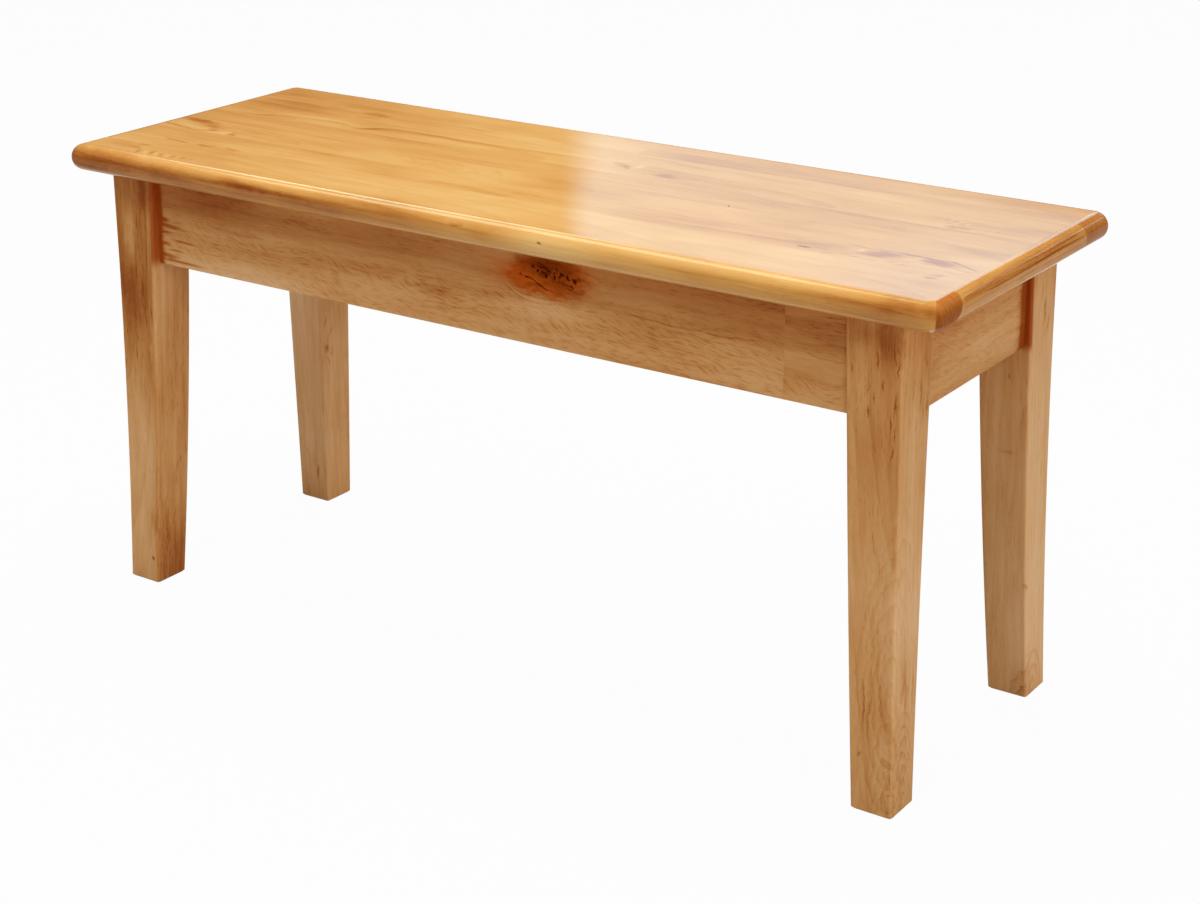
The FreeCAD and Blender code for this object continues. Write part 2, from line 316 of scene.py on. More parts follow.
    def vein(self, line, above, below, dark=0.0, red=0.0, core=0.0, fade=25.0, across=None, waver=1.0):
        """Band along a line through points (along, across) in mm, fading on each side and at its ends."""
        across = self.v if across is None else across
        levels = [level for place, level in line]
        points = [(place * MM, level * MM) for place, level in line]
        middle = self.curve(self.u, points, (min(levels) - 1.0) * MM, (max(levels) + 1.0) * MM)
        off = across + self.ripple * waver - middle
        band = self.ease(off, -below * MM, 0.0) * self.ease(off, 0.0, above * MM, 1.0, 0.0)
        first, last = points[0][0], points[-1][0]
        start = self.ease(self.u, first, first + fade * MM)
        stop = self.ease(self.u, last - fade * MM, last, 1.0, 0.0)
        self.add(band * (start * stop), dark=dark, red=red, core=core)

    def stretched(self, u_scale, v_scale, v=None):
        """Board coordinates scaled along and across the grain, for a noise."""
        v = self.v if v is None else v
        return self.join(self.u * u_scale + self.seed, v * v_scale + self.seed, self.w * v_scale)

    def figure(self, rings=0.10, streaks=0.38, blotch=0.75, pores=0.10, flecks=0.0, curl=0.0, curl_mask=None):
        """Darkness of the wood from its rings, streaks, pores and marks, and the pores alone."""
        drift = self.noise(self.stretched(3.2, 9.0), 2.0, 0.5) - 0.5
        swirl = self.noise(self.stretched(14.0, 26.0), 2.0, 0.5) - 0.5
        v = self.v + drift * 0.024 + swirl * 0.007
        side = v - self.pith[0]
        below = self.w - self.pith[1] + self.u * self.lean
        distance = self.math("SQRT", side * side + below * below) + self.flow
        phase = self.math("FRACT", distance / self.ring)
        late = (phase ** 5.0) * 0.75 + phase * 0.25
        broad = self.noise(self.stretched(5.0, 44.0, v), 3.0, 0.55) - 0.5
        fine = self.noise(self.stretched(15.0, 230.0, v), 3.0, 0.6) - 0.5
        cloud = self.noise(self.stretched(8.0, 17.0, v), 2.0, 0.5) - 0.5
        fibre = self.noise(self.stretched(95.0, 900.0, v), 2.0, 0.55)
        presence = self.ease(self.noise(self.stretched(14.0, 60.0, v), 2.0, 0.5), 0.35, 0.65)
        pore = self.ease(fibre, 0.54, 0.70) * (presence * 0.7 + 0.3)
        tone = late * rings + broad * streaks + fine * (streaks * 0.6) + cloud * blotch + pore * pores
        if flecks:
            dash = self.ease(self.noise(self.stretched(42.0, 640.0, v), 1.0, 0.5), 0.60, 0.72)
            patch = self.ease(self.noise(self.stretched(11.0, 34.0), 2.0, 0.5), 0.46, 0.62)
            tone = tone + dash * patch * flecks
        if curl:
            bend = (self.noise(self.stretched(17.0, 26.0), 1.0, 0.5) - 0.5) * 0.034
            slanted = (self.w + self.u * 0.22 + bend) * 640.0
            scales = self.noise(self.join(self.u * 80.0, self.v * 80.0, slanted), 2.0, 0.5)
            ruffle = self.ease(scales, 0.46, 0.68) - 0.3
            tone = tone + ruffle * (curl if curl_mask is None else curl_mask * curl)
        return tone + self.dark, pore

    def colour(self, tone, level=0.4):
        """Pale to brown by darkness, then red stain, rust and knots over it."""
        stops = {"stops": self.tones}
        shade = self.node("ShaderNodeValToRGB", stops, {0: tone + level})
        if isinstance(self.red, Wire):
            shade = self.mix(self.red, shade, RED_STAIN)
        if isinstance(self.rust, Wire):
            shade = self.mix(self.rust, shade, RUST_KNOT)
        if isinstance(self.core, Wire):
            shade = self.mix(self.core, shade, KNOT_CORE)
        return shade

    def lacquer(self, colour, pore, coat=1.0, coat_roughness=0.04, waves=0.0):
        """Clear coat over the wood, a little uneven over the pores and wavy where asked."""
        height = waves + (1.0 - pore)
        relief = self.node("ShaderNodeBump", None, {"Strength": 0.06, "Distance": 0.4 * MM, "Height": height})
        sockets = {
            "Base Color": colour,
            "Roughness": 0.42 + pore * 0.15,
            "Specular IOR Level": 0.0,
            "Coat Weight": coat,
            "Coat Roughness": coat_roughness,
            "Coat IOR": 1.5,
            "Normal": relief,
        }
        shader = self.node("ShaderNodeBsdfPrincipled", None, sockets)
        self.node("ShaderNodeOutputMaterial", None, {"Surface": shader})
        return self.material


def dress(material, *nodes):
    """Gives one finish to all the faces of the named nodes."""
    for name in nodes:
        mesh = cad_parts[name].data
        mesh.materials.clear()
        mesh.materials.append(material)


def end_grain(board, side):
    """1 on the rounded ends of a full-length seat stave; side is -1 at the front and 1 at the rear."""
    x, y = board.xyz[:2]
    past = board.math("ABSOLUTE", x) - (SEAT_HALF_LENGTH - CORNER_RADIUS)
    round_side = board.math("MAXIMUM", y * side - (SEAT_HALF_DEPTH - CORNER_RADIUS), 0.0)
    return board.ease(past - round_side * 0.55, 4.0 * MM, 5.6 * MM)


def end_brown(board):
    """Colour of end grain: fine rays, darker towards the lower half of the round."""
    x, y, z = board.xyz
    rays = board.ease(board.noise(board.join(x * 40.0, y * 420.0, z * 130.0), 2.0, 0.5), 0.3, 0.7)
    height = board.ease(z, EDGE_MIDDLE + 1.0 * MM, EDGE_MIDDLE + 11.0 * MM)
    return board.mix(rays * 0.45 + height * 0.6, END_GRAIN, END_GRAIN_PALE)


def round_coat(board, bare=0.0, rim=0.8):
    """Coat of a seat board: thinner over its round and bare end grain, thicker again at its lowest edge."""
    z = board.xyz[2]
    thin = board.ease(z, EDGE_MIDDLE + 4.0 * MM, EDGE_MIDDLE + 9.0 * MM, 0.65, 0.0)
    low = board.ease(z, EDGE_MIDDLE - 9.5 * MM, EDGE_MIDDLE - 6.0 * MM, 1.0, 0.0)
    return (1.0 - thin) * (1.0 - bare) + low * rim


def seat_wood(name, **settings):
    """A board of the seat: paler in the middle and darker to the right as painted light and shade, more
    orange at the left.
    """
    wood = Wood("seat_" + name + "_wood", SEAT_TONES, **settings)
    # Painted light and shade: paler in the middle and darker towards the right end, where the light falls
    # off.
    wood.mark((-50, 0), (200, 600), dark=-0.13, wander=False, deep=80)
    wood.mark((470, 0), (330, 600), dark=0.25, wander=False, deep=80)
    wood.mark((135, 50), (220, 200), dark=0.13, soft=0.35, wander=False, deep=80)
    wood.mark((-480, 40), (380, 320), dark=-0.02, red=0.11, wander=False, deep=80)
    return wood


def seat_front():
    """Front stave: golden, browner on its round from painted shade and its own streaks, with a swirl at the
    left, a small knot and dark end grain.
    """
    wood = seat_wood("front", pith=(-0.16, 0.36), lean=0.05, ring=0.010, seed=1.7)
    x, y, z = wood.xyz
    wood.mark((-428, -130), (34, 16), -20, dark=0.20, soft=0.2, deep=10)
    wood.marks((
        (-403, -121, 16, 8, 25, 0.34), (-406, -136, 14, 5, -20, 0.26), (-392, -147, 3.4, 11, 30, 0.36),
        (-384, -144, 3.0, 10, 34, -0.34), (-377, -142, 4.0, 11, 30, 0.34), (-369, -146, 3.0, 9, 36, -0.32),
        (-362, -145, 3.6, 9, 38, 0.34), (-354, -145, 3.0, 8, 36, -0.28), (-347, -144, 4.0, 8, 34, 0.28),
        (-336, -143, 6.0, 7, 25, 0.22), (-326, -142, 5.0, 6, 20, 0.16),
    ), soft=0.2, deep=12)
    wood.vein([(-330, -148), (-200, -147), (-60, -150), (60, -151)], 10, 8, dark=0.03, fade=60)
    wood.vein([(240, -122), (300, -118), (360, -121)], 5, 6, dark=0.08)
    # Painted shade on the round, deepest left of the middle, where the round turns away from the light; taken
    # off its underside towards the right.
    round_shade = [
        (-0.471, 0.32), (-0.40, 0.38), (-0.30, 0.46), (-0.15, 0.52), (-0.06, 0.46), (0.02, 0.34),
        (0.12, 0.08), (0.20, 0.06), (0.30, 0.18), (0.38, 0.16), (0.471, 0.16),
    ]
    under = wood.ease(z, EDGE_MIDDLE - 9.5 * MM, EDGE_MIDDLE - 1.5 * MM, 0.60, 0.0)
    under = under * wood.ease(x, -0.36, -0.14)
    lower = wood.ease(z + wood.ripple * 0.3, EDGE_MIDDLE + 2.5 * MM, cad_high.z, 1.0, 0.0) * (1.0 - under)
    wood.add(wood.curve(x, round_shade) * lower, dark=1.0)
    # Stretches of the round: a darker, redder left end, partly the wood and partly painted shade; small dark
    # streaks of the wood; painted shade at the right end and along the top of the round left of the middle;
    # paler stretches right of the middle, painted light; a paler ring round a small dark dot.
    round_shade_and_streaks = (
        ((-450, -164, 449), (150, 22, 15), 0, 0.27, 0.12, 0.3),
        ((-330, -166, 447), (40, 10, 7), 4, 0.07, 0.05), ((-240, -166, 449), (50, 10, 6), 3, 0.16, 0.08),
        ((470, -166, 454), (95, 11, 12), 0, 0.28), ((10, -165, 450), (10, 8, 3), 0, 0.20, 0.10),
        ((-60, -160, 455), (190, 16, 10), 0, 0.32, 0, 0, False),
        ((112, -166, 447), (78, 16, 14), 0, -0.34, 0, 0.3, False),
        ((310, -163, 454), (170, 10, 7), 0, -0.24, 0, 0.3, False),
        ((99, -167, 446.6), (5.5, 9, 4.2), 0, -0.12, 0, 0, False),
    )
    for centre, radii, tilt, *amounts in round_shade_and_streaks:
        wood.streak(centre, radii, (0, tilt, 0), *amounts)
    # Painted shade: a dark band along the middle of the round, where it gets less light.
    line = [(-360, 447), (-240, 447.5), (-150, 448), (-70, 447.5), (-20, 448)]
    wood.vein(line, 4, 4, dark=0.13, red=0.08, fade=100, across=z, waver=0.15)
    wood.vein([(-20, 449), (60, 448), (150, 447), (330, 448)], 2, 2, dark=0.10, fade=60, across=z, waver=0.3)
    wood.vein([(140, 440), (180, 442), (220, 440)], 2, 3, dark=0.14, fade=20, across=z, waver=0.3)
    wood.add(wood.mask((99.2, -167, 448.0), (3.4, 9, 2.0), (0, 12, 0), 0.2, False), core=0.72)
    wood.add(wood.mask((99.0, -167, 446.6), (1.8, 9, 1.4), (0, 12, 0), 0.3, False), core=-0.60)
    tone, pore = wood.figure()
    slant = wood.ease(y + (z - cad_high.z) * -0.5, -0.1225, -0.1205, 1.0, 0.0)
    right = wood.ease(x, 0.0, 0.1)
    ends = end_grain(wood, -1) * (1.0 - right * (1.0 - slant))
    colour = wood.mix(ends * 0.95, wood.colour(tone, 0.26), end_brown(wood))
    waves = wood.noise(wood.vector("MULTIPLY", wood.place, (90.0, 160.0, 160.0)), 2.0, 0.5)
    waves = waves * wood.ease(z, cad_high.z - 1.2 * MM, cad_high.z - 0.1 * MM, 5.0, 0.0)
    coat = round_coat(wood, ends * 0.7, wood.ease(x, -0.46, -0.20, 0.4, 0.8))
    dress(wood.lacquer(colour, pore, coat, waves=waves), "seat_front_stave")


def seat_rear():
    """Rear stave: a golden left length, and a right length that starts browner at the finger joint."""
    for name, level, seed in (("left", 0.36, 3.1), ("right", 0.34, 5.3)):
        wood = seat_wood("rear_" + name, pith=(0.30, 0.40), lean=0.03, ring=0.008, seed=seed)
        x, y = wood.xyz[:2]
        if name == "left":
            wood.mark((-430, 140), (110, 40), dark=0.08)
            wood.mark((-320, 121), (110, 13), dark=0.12)
        else:
            band = wood.ease(x, 0.07, 0.25, 1.0, 0.2) * wood.ease(y + wood.ripple, 0.130, 0.142, 1.0, 0.0)
            wood.add(band, dark=0.09)
            wood.streak((455, 126, 446), (30, 20, 14), dark=0.30, red=0.16)
        tone, pore = wood.figure()
        ends = end_grain(wood, 1)
        colour = wood.mix(ends * 0.75, wood.colour(tone, level), end_brown(wood))
        dress(wood.lacquer(colour, pore, round_coat(wood)), "seat_rear_stave_" + name)


def finish_core(wood, number, rings, streaks, blotch, level):
    """Colours and lacquers one core stave."""
    tone, pore = wood.figure(rings, streaks, blotch)
    dress(wood.lacquer(wood.colour(tone, level), pore), "seat_core_stave_" + str(number))


def seat_core():
    """Five core staves, each with its own tone and marks."""
    first = seat_wood("core_1", pith=(0.04, 0.385), lean=0.045, ring=0.014, seed=7.9)
    first.marks((
        (-300, 103, 34, 12, -8, 0.30), (-300, 88, 22, 9, 0, 0.14), (-353, 104, 22, 9, 0, 0.12),
        (-170, 105, 60, 9, 0, 0.14), (-412, 78, 110, 32, 4, 0.15), (-412, 32, 60, 12, 6, 0.16),
        (-268, 47, 24, 8, 30, 0.24), (44, 69, 7, 15, -10, -0.30), (36, 60, 12, 3.5, -40, 0.22),
        (200, 52, 110, 30, 0, -0.10, 0, 0.3),
    ))
    line = [(-455, 35), (-420, 33), (-392, 42), (-360, 50), (-312, 53)]
    line += [(-282, 47), (-262, 53), (-235, 62), (-150, 61), (0, 69)]
    first.vein(line, 3, 12, dark=0.15, fade=40)
    first.vein([(p, v + 5) for p, v in line], 4, 4, dark=-0.14, fade=40)
    first.vein([(-230, 49), (-180, 52), (-130, 50), (-82, 46)], 8, 12, dark=-0.20, fade=50)
    first.vein([(-225, 57), (-160, 61), (-90, 58)], 3, 4, dark=0.10)
    first.vein([(-160, 68), (-60, 66), (20, 67)], 2, 4, dark=0.10)
    first.knot((26, 66, SEAT_TOP), (20, 9, 20), (0, 0, -22), dark=0.22, red=0.04, flow=0.004)
    first.knot((84, 52, SEAT_TOP), (18, 9, 20), dark=0.20, red=0.10, flow=0.003)
    first.vein([(88, 52), (130, 57), (190, 55)], 2, 3, dark=0.10)
    first.vein([(20, 44), (60, 50), (84, 51)], 2, 3, dark=0.08)
    first.knot((384, 42, SEAT_TOP), (20, 7, 20), (0, 0, 6), dark=0.28, red=0.03, flow=0.004)
    for x, y in ((366, 60), (374, 56), (381, 52), (370, 50)):
        first.mark((x, y), (6, 3), 35, dark=0.18)
        first.mark((x + 5, y + 4), (5, 2.5), 35, dark=-0.30)
    first.vein([(395, 43), (430, 46), (458, 44)], 2, 3, dark=0.12, fade=12)
    finish_core(first, 1, 0.12, 0.38, 0.75, 0.31)

    second = seat_wood("core_2", pith=(0.30, 0.40), lean=0.01, ring=0.0055, seed=9.2)
    second.mark((186, -6), (7, 1.4), -62, dark=0.9, deep=4)
    second.vein([(-300, 6), (-150, 4), (0, 8), (150, 4)], 2, 4, dark=0.08)
    second.mark((420, 5), (130, 40), dark=-0.14, soft=0.3)
    finish_core(second, 2, 0.14, 0.55, 0.30, 0.37)

    third = seat_wood("core_3", pith=(-0.03, 0.40), lean=0.05, ring=0.020, seed=11.4)
    third.marks((
        (-440, -17, 40, 10, -4, 0.30, 0.10, 0.1), (-421, -22, 40, 14, -18, 0.26, 0.10, 0.1),
        (-399, -34, 20, 8, -55, 0.14, 0.08, 0.1), (-376, -43.5, 8, 7, -30, -0.46, 0, 0.3),
        (-364, -46, 10, 6, -30, 0.38, 0, 0.2), (-388, -27, 5, 12, -40, 0.16),
    ))
    line = [(-460, -41), (-441, -44), (-425, -48), (-405, -49), (-393, -42), (-384, -36)]
    third.vein(line, 3.5, 4.5, dark=0.40, red=0.10, fade=8)
    third.vein([(-450, -34), (-430, -37), (-412, -40), (-400, -36)], 3, 3, dark=-0.22, fade=8)
    third.arches((-345, -33, SEAT_TOP), (132, 17, 60), (0, 0, -5), 1.9, dark=0.18, edge=0.9)
    third.arches((-110, -28, SEAT_TOP), (66, 16, 60), (0, 0, -6), 3.0, dark=0.14, edge=0.85)
    third.vein([(-62, -18), (-45, -27), (-38, -42)], 3, 6, dark=0.16, fade=6)
    third.vein([(40, -34), (110, -40), (200, -36)], 3, 5, dark=0.08)
    third.mark((150, -30), (170, 40), dark=0.10, soft=0.5, wander=False)
    finish_core(third, 3, 0.08, 0.36, 0.75, 0.24)

    fourth = seat_wood("core_4", pith=(-0.32, 0.39), lean=0.02, ring=0.010, seed=13.8)
    fourth.vein([(-400, -53), (-330, -53), (-250, -52.5), (-170, -52)], 2, 36, dark=0.18, fade=80)
    fourth.vein([(-270, -52), (-240, -54), (-215, -53)], 2, 5, dark=0.08, fade=12)
    fourth.vein([(-100, -81), (-60, -80), (-25, -82), (20, -84)], 6, 13, dark=0.24, fade=24)
    fourth.vein([(120, -84), (200, -78), (290, -70), (345, -52)], 5, 12, dark=0.08, red=0.08, fade=50)
    fourth.knot((304, -79.8, SEAT_TOP), (8.5, 3.0, 20), (0, 0, 14), dark=0.50, core=0.55, flow=0.004)
    fourth.marks((
        (8, -73, 8, 3, 0, 0.20, 0.06), (318, -77, 16, 4, 6, 0.12, 0.10),
        (368, -64, 25, 13, 16, 0.26, 0.24, 0.2), (420, -62, 24, 13, -8, 0.25, 0.20, 0.2),
        (395, -54, 26, 3.5, -4, 0.26, 0, 0.2), (349, -63, 6, 6, -40, -0.30, 0, 0.2),
        (396, -63, 6, 12, -40, -0.14, 0, 0.1),
    ))
    for px, py in ((328, -85), (342, -78), (352, -82), (366, -84), (384, -79), (396, -82)):
        fourth.mark((px, py), (9, 1.8), 12, dark=0.26, red=0.10, wander=False)
    fourth.vein([(380, -63), (410, -64), (440, -70), (458, -74)], 2, 3, dark=0.14, fade=14)
    line = [(296, -49), (315, -48.5), (333, -51.5), (350, -54.5), (366, -52), (400, -51.5)]
    fourth.vein(line, 1.6, 2.2, dark=0.30, fade=14, waver=0.4)
    line = [(400, -51), (420, -50.5), (434, -56), (446, -62), (458, -69)]
    fourth.vein(line, 1.8, 2.4, dark=0.34, fade=8, waver=0.4)
    fourth.vein([(395, -74), (425, -72), (452, -79)], 2, 3, dark=-0.20, fade=10)
    finish_core(fourth, 4, 0.10, 0.38, 0.75, 0.30)

    fifth = seat_wood("core_5", pith=(-0.20, 0.41), lean=0.03, ring=0.014, seed=15.1)
    line = [(-412, -92.5), (-400, -92), (-388, -93.5), (-372, -95)]
    fifth.vein(line, 2.0, 3.5, dark=0.40, red=0.08, fade=10, waver=0.4)
    fifth.vein([(-410, -87.5), (-396, -87), (-380, -90)], 2.5, 2.5, dark=-0.24, fade=10, waver=0.4)
    line = [(-368, -92), (-352, -94), (-338, -88), (-322, -91), (-306, -94)]
    fifth.vein(line, 3, 5, dark=0.34, red=0.08, fade=12)
    fifth.vein([(-350, -99), (-330, -97), (-310, -101)], 2, 3, dark=0.20, fade=10)
    fifth.marks((
        (-300, -104, 46, 5, -8, 0.10), (-430, -104, 46, 16, 0, 0.10), (433, -92.5, 16, 6, 40, 0.24, 0.06),
        (400, -97, 56, 11, 0, 0.08),
    ))
    fifth.mark((430, -102), (9, 2.4), 10, dark=0.46, red=0.10, soft=0.2, wander=False)
    finish_core(fifth, 5, 0.08, 0.36, 0.75, 0.22)


def seat_lippings():
    """Cross-grain end strips: orange brown, darker towards the middle of the round, where a broad band of
    painted shade lies.
    """
    wood = Wood("seat_lipping_wood", SEAT_TONES, "y", pith=(0.46, 0.30), lean=0.02, ring=0.005, seed=17.6)
    z = wood.xyz[2]
    # The first, broad band is painted shade along the middle of the round; the thin lines after it are grain.
    lines = (
        ([(-135, 450), (-60, 450.5), (20, 450), (112, 450.5)], 6, 7, 0.14, 0.10, 40),
        ([(-90, 448.5), (-20, 448), (60, 449), (112, 448)], 1.2, 1.6, 0.22, 0.20, 25),
        ([(-120, 452.5), (-20, 453), (60, 452), (112, 453)], 0.9, 1.2, 0.14, 0.0, 25),
        ([(-60, 443.5), (20, 444), (110, 443)], 1.0, 1.2, 0.16, 0.0, 25),
    )
    for line, above, below, dark, red, fade in lines:
        wood.vein(line, above, below, dark, red, fade=fade, across=z, waver=0.2)
    tone, pore = wood.figure(rings=0.08, streaks=0.7, blotch=0.25, pores=0.14)
    shader = wood.lacquer(wood.colour(tone, 0.58), pore, round_coat(wood))
    dress(shader, "seat_end_lipping_left", "seat_end_lipping_right")


class Leg(Wood):
    """A tapered leg, with marks placed by height in mm and by share of a face's width."""

    def __init__(self, name, side_x, side_y, seed, ring=0.007):
        pith = (side_x * (LEG_FOOT_X + 0.022), side_y * (LEG_FOOT_Y - 0.060))
        shear = (side_x * LEG_LEAN_X, side_y * LEG_LEAN_Y)
        super().__init__("leg_" + name + "_wood", FRAME_TONES, "z", pith, 0.05, ring, seed, shear)
        self.name, self.side_x, self.side_y = name, side_x, side_y
        half = 0.0195 + self.u * 0.015
        self.right_face = self.ease(self.v - side_x * LEG_FOOT_X - half, -4.0 * MM, -0.5 * MM)
        self.front_face = self.ease(side_y * LEG_FOOT_Y - half - self.w, -4.0 * MM, -0.5 * MM)

    def face_place(self, face, z, share):
        """Place in mm on the front or right face at a height and a share of its width."""
        drop = 1.0 - z * MM / LEG_HEIGHT
        half = 26.0 - 6.5 * drop
        bow = 8.0 * drop * (1.0 - drop)
        x = self.side_x * (405.5 + 19.5 * drop - bow)
        y = self.side_y * (118.5 + 14.5 * drop - bow)
        across = (2.0 * share - 1.0) * half
        return (x + across, y - half, z) if face == "front" else (x + half, y + across, z)

    def stroke(self, face, z, share, length, width, tilt=0.0, dark=0.0, red=0.0, soft=0.0):
        """Long mark along the leg on one face."""
        radii = (width, 5.0, length) if face == "front" else (5.0, width, length)
        turn = (0, tilt, 0) if face == "front" else (-tilt, 0, 0)
        self.streak(self.face_place(face, z, share), radii, turn, dark, red, soft)

    def strokes(self, rows):
        """Long marks, each row in the order of a stroke's own values."""
        for row in rows:
            self.stroke(*row)

    def arch(self, face, z, share, length, width, rings, dark, tilt=0.0, edge=0.7):
        """Nested arches on one face."""
        radii = (width, 30.0, length) if face == "front" else (30.0, width, length)
        turn = (0, tilt, 0) if face == "front" else (-tilt, 0, 0)
        self.arches(self.face_place(face, z, share), radii, turn, rings, dark, 0.0, edge)

    def levels(self, front, right):
        """Tone along the leg, its own on the right face; towards the top it is partly painted shade under the
        seat.
        """
        ahead = self.curve(self.u, [(z * MM, level) for z, level in front])
        aside = self.curve(self.u, [(z * MM, level) for z, level in right])
        return ahead + (aside - ahead) * self.right_face

    def finish_leg(self, front, right):
        """Colours and lacquers the leg, with the tone along its front and right faces."""
        tone, pore = self.figure(rings=0.10, streaks=0.6, blotch=0.45, pores=0.16, flecks=0.18)
        colour = self.colour(tone + self.levels(front, right), -0.02)
        dress(self.lacquer(colour, pore, FRAME_COAT, FRAME_COAT_ROUGHNESS), "leg_" + self.name)


def leg_front_right():
    """Nearest leg: a red-brown patch at its top, flecks below it, arches towards the foot."""
    leg = Leg("front_right", 1, -1, 23.9)
    leg.strokes((
        ("front", 412, 0.70, 32, 24, 0, 0.18, 0.16), ("front", 418, 0.30, 16, 14, 0, 0.10, 0.10),
    ))
    flecks = (
        (398, 0.55, 12), (405, 0.86, 14), (392, 0.92, 10), (386, 0.12, 7), (372, 0.40, 9), (366, 0.52, 8),
        (352, 0.42, 8), (360, 0.88, 14), (345, 0.80, 10), (338, 0.90, 12), (322, 0.84, 9), (377, 0.66, 7),
    )
    for z, share, length in flecks:
        leg.stroke("front", z, share, length, 1.3, dark=0.34, red=0.32)
    leg.arch("front", 110, 0.95, 150, 40, 7.0, 0.13, edge=0.75)
    leg.strokes((
        ("front", 98, 0.34, 46, 1.6, -4, 0.32, 0.08), ("front", 96, 0.46, 48, 1.6, -1, 0.22, 0.06),
    ))
    leg.arch("front", -40, 0.70, 165, 20, 5.0, 0.16, edge=0.75)
    leg.strokes((
        ("front", 52, 0.24, 5, 2.5, 30, 0.30, 0.15), ("front", 100, 0.75, 40, 9, 0, 0.10, 0.10),
    ))
    flecks = (
        (372, 0.42, 16, 2.4), (362, 0.66, 18, 2.0), (352, 0.76, 20, 2.0), (344, 0.30, 12, 1.8),
        (352, 0.90, 22, 1.8), (338, 0.55, 14, 1.6), (392, 0.80, 14, 2.2),
    )
    for z, share, length, wide in flecks:
        leg.stroke("right", z, share, length, wide, dark=0.24, red=0.16)
    leg.arch("right", 150, 0.30, 150, 34, 6.0, 0.10, edge=0.75)
    leg.strokes((
        ("right", 118, 0.40, 28, 5, 8, 0.30, 0.14), ("right", 104, 0.52, 22, 4, 8, 0.26, 0.12),
        ("right", 108, 0.80, 24, 3, 0, 0.20, 0.10),
    ))
    leg.arch("right", -6, 0.52, 112, 24, 9.0, 0.26, edge=0.8)
    # Tone along the faces; the darkening towards the top is partly the wood and partly painted shade under
    # the seat.
    front = [(0, 0.50), (40, 0.44), (150, 0.34), (250, 0.44), (310, 0.54), (370, 0.62), (432, 0.78)]
    right = [(0, 0.46), (40, 0.38), (120, 0.33), (170, 0.11), (260, 0.13), (310, 0.22), (370, 0.48)]
    right += [(432, 0.70)]
    leg.finish_leg(front, right)


def leg_front_left():
    """Left leg at the front: brown upper half, darkest at its top partly from painted shade under the seat,
    pale foot, and lacquer gathered beside the apron.
    """
    leg = Leg("front_left", -1, -1, 19.3)
    leg.strokes((
        ("front", 370, 0.36, 44, 12, 0, -0.30, 0, 0.1), ("front", 308, 0.28, 60, 22, 0, 0.16, 0.03),
        ("front", 300, 0.62, 50, 8, 4, 0.14), ("front", 412, 0.80, 28, 15, 0, 0.22, 0.16),
    ))
    flecks = (
        (330, 0.50, 16), (318, 0.62, 20), (296, 0.70, 30), (350, 0.78, 14), (384, 0.60, 12),
        (262, 0.40, 34), (240, 0.55, 30), (222, 0.30, 26), (210, 0.62, 22),
    )
    for z, share, length in flecks:
        leg.stroke("front", z, share, length, 1.8, tilt=2, dark=0.14, red=0.05)
    leg.strokes((
        ("front", 262, 0.86, 60, 6, 0, -0.18), ("front", 180, 0.40, 60, 14, 0, -0.10),
        ("front", 66, 0.88, 22, 8, 0, 0.24, 0.04),
    ))
    leg.knot(leg.face_place("front", 27, 0.79), (3, 3, 3.4), dark=0.5, red=0.3, core=0.6, flow=0.002)
    leg.strokes((
        ("right", 60, 0.30, 50, 5, 0, 0.20), ("right", 200, 0.45, 60, 4, 0, 0.14),
    ))
    beside = leg.ease(leg.xyz[1], -0.1345, -0.1325, 1.0, 0.0)
    leg.add(leg.right_face * leg.ease(leg.u, 0.338, 0.352) * beside, dark=0.25, red=0.75)
    # Tone along the faces; the darkening towards the top is partly the wood and partly painted shade under
    # the seat.
    front = [(0, 0.48), (40, 0.40), (150, 0.40), (210, 0.54), (260, 0.66), (310, 0.76), (370, 0.72)]
    front += [(432, 0.84)]
    right = [(0, 0.74), (40, 0.66), (100, 0.52), (180, 0.48), (300, 0.44), (380, 0.60), (432, 0.74)]
    leg.finish_leg(front, right)


def leg_rear_right():
    """Right leg at the rear: pale end face, straight grain in front with a short cross mark."""
    leg = Leg("rear_right", 1, 1, 31.1)
    for z, share, length, wide in ((372, 0.56, 20, 3.0), (360, 0.70, 16, 2.2), (392, 0.40, 14, 2.4)):
        leg.stroke("right", z, share, length, wide, dark=0.30, red=0.16)
    leg.stroke("right", 115, 0.03, 5, 2, dark=0.4, red=0.2)
    leg.arch("right", -10, 0.30, 70, 26, 5.0, 0.26, edge=0.75)
    leg.strokes((
        ("right", 30, 0.10, 36, 6, 0, 0.22, 0.06), ("front", 243, 0.60, 3.0, 13, 0, 0.22),
        ("front", 315, 0.62, 4, 2, 0, 0.4),
    ))
    gathered = leg.front_face * leg.ease(leg.u, 0.338, 0.350) * leg.ease(leg.xyz[0], 0.4235, 0.4265)
    leg.add(gathered, dark=0.35, red=0.75)
    # Tone along the faces; the darkening towards the top is partly the wood and partly painted shade under
    # the seat.
    front = [(0, 0.46), (60, 0.40), (150, 0.40), (260, 0.44), (330, 0.48), (432, 0.66)]
    right = [(0, 0.30), (50, 0.16), (110, 0.06), (210, 0.00), (280, 0.10), (340, 0.30), (390, 0.44)]
    right += [(432, 0.62)]
    leg.finish_leg(front, right)


